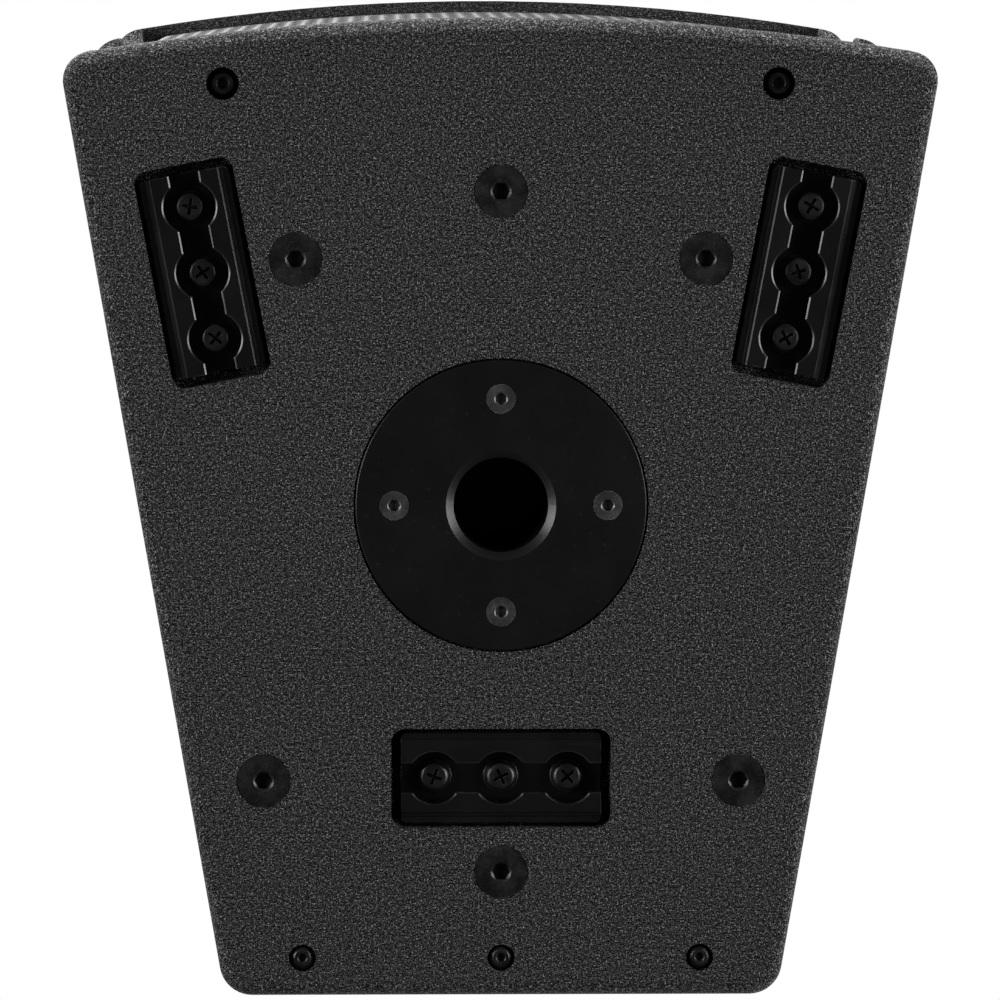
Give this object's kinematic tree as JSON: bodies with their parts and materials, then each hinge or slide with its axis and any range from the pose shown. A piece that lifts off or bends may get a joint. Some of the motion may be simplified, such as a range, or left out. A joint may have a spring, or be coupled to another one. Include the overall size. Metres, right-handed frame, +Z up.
{
  "type": "stage monitor loudspeaker",
  "caption": "Powered stage monitor cabinet with a tapered plan, a curved steel grille, a pole cup and fly tracks in its ends, side handles and a recessed rear amplifier module.",
  "frame": {"origin": "centre of the pole cup's mouth, in the plane of the cabinet's bottom face", "axes": "+Z up along the cabinet's height, -Y towards the front (grille), +X to the right seen from the front"},
  "size_m": [0.3308, 0.3722, 0.568],
  "materials": {
    "textured_cabinet_paint": "black sprayed textured coating on plywood",
    "black_painted_plywood": "matt black paint",
    "raw_plywood": "unfinished birch plywood",
    "black_steel_cup": "satin black powder coat",
    "black_anodised_track": "black anodised",
    "black_screw_steel": "black oxide",
    "zinc_plated_steel": "bright zinc plate",
    "grille_steel": "semi-gloss black powder coat",
    "open_cell_foam": "open-cell foam",
    "black_cast_frame": "black painted casting",
    "ferrite_magnet": "bare ferrite",
    "paper_cone": "coated paper pulp",
    "treated_cloth": "doped cloth",
    "copper_coil": "enamelled copper wire on a former",
    "moulded_plastic": "moulded, fine grain",
    "driver_casting": "painted casting",
    "tray_paint": "fine-texture black powder coat on sheet",
    "black_heat_sink": "black anodised extrusion",
    "circuit_board": "solder-masked laminate",
    "capacitor_sleeve": "shrink sleeve",
    "transformer_wrap": "wrapped winding tape",
    "socket_plastic": "moulded nylon",
    "control_plastic": "soft satin",
    "lamp_lens": "tinted lens"
  },
  "bodies": {
    "cabinet": {"amplifier_board": "circuit_board", "baffle": "black_painted_plywood", "bottom_panel": "textured_cabinet_paint", "combo_input_socket": "socket_plastic", "compression_driver": "driver_casting", "driver_screws": "black_screw_steel", "fly_track_bottom_left": "black_anodised_track", "fly_track_bottom_rear": "black_anodised_track", "fly_track_bottom_right": "black_anodised_track", "fly_track_screws": "black_screw_steel", "fly_track_top_left": "black_anodised_track", "fly_track_top_rear": "black_anodised_track", "fly_track_top_right": "black_anodised_track", "grille": "grille_steel", "grille_foam": "open_cell_foam", "grille_screws": "black_screw_steel", "handle_cup_left": "moulded_plastic", "handle_cup_right": "moulded_plastic", "handle_screws": "black_screw_steel", "heat_sink": "black_heat_sink", "horn": "moulded_plastic", "input_board": "circuit_board", "left_side_panel": "textured_cabinet_paint", "link_output_socket": "socket_plastic", "mains_inlet": "socket_plastic", "pole_cup": "black_steel_cup", "pole_cup_screws": "black_screw_steel", "port_lower_left": "moulded_plastic", "port_lower_right": "moulded_plastic", "port_upper_left": "moulded_plastic", "port_upper_right": "moulded_plastic", "power_transformer": "transformer_wrap", "rear_battens": "raw_plywood", "rear_module_screws": "black_screw_steel", "rear_tray": "tray_paint", "reservoir_capacitors": "capacitor_sleeve", "rigging_inserts": "zinc_plated_steel", "rigging_screws": "black_screw_steel", "right_side_panel": "textured_cabinet_paint", "socket_screws": "black_screw_steel", "status_lamps": "lamp_lens", "switch_frame": "socket_plastic", "top_panel": "textured_cabinet_paint", "track_backing_plates": "zinc_plated_steel", "tray_gasket": "open_cell_foam", "window_brace": "raw_plywood", "woofer_basket": "black_cast_frame", "woofer_front_plate": "zinc_plated_steel", "woofer_gasket": "open_cell_foam", "woofer_magnet": "ferrite_magnet", "woofer_spider": "treated_cloth", "woofer_surround": "treated_cloth", "woofer_yoke": "zinc_plated_steel"},
    "woofer_moving_parts": {"woofer_cone": "paper_cone", "woofer_dust_cap": "paper_cone", "woofer_voice_coil": "copper_coil"},
    "level_knob": {"level_knob": "control_plastic"},
    "power_rocker": {"power_rocker": "control_plastic"},
    "low_cut_button": {"low_cut_button": "control_plastic"},
    "mic_line_button": {"mic_line_button": "control_plastic"}
  },
  "joints": [
    {"name": "cone_travel", "type": "slide", "parent": "cabinet", "child": "woofer_moving_parts", "axis": [0, -1, 0], "range_m": [-0.007, 0.007], "stiffness_N_per_m": 3500, "deforming": ["woofer_surround", "woofer_spider"]},
    {"name": "level_knob_turn", "type": "hinge", "parent": "cabinet", "child": "level_knob", "pos_m": [0, 0.1626, 0.25], "axis": [0, 1, 0], "range_deg": [-150, 150]},
    {"name": "power_rocker_tilt", "type": "hinge", "parent": "cabinet", "child": "power_rocker", "pos_m": [-0.048, 0.161, 0.12], "axis": [1, 0, 0], "range_deg": [0, 20]},
    {"name": "low_cut_press", "type": "slide", "parent": "cabinet", "child": "low_cut_button", "axis": [0, -1, 0], "range_m": [0, 0.002], "stiffness_N_per_m": 400},
    {"name": "mic_line_press", "type": "slide", "parent": "cabinet", "child": "mic_line_button", "axis": [0, -1, 0], "range_m": [0, 0.002], "stiffness_N_per_m": 400}
  ]
}
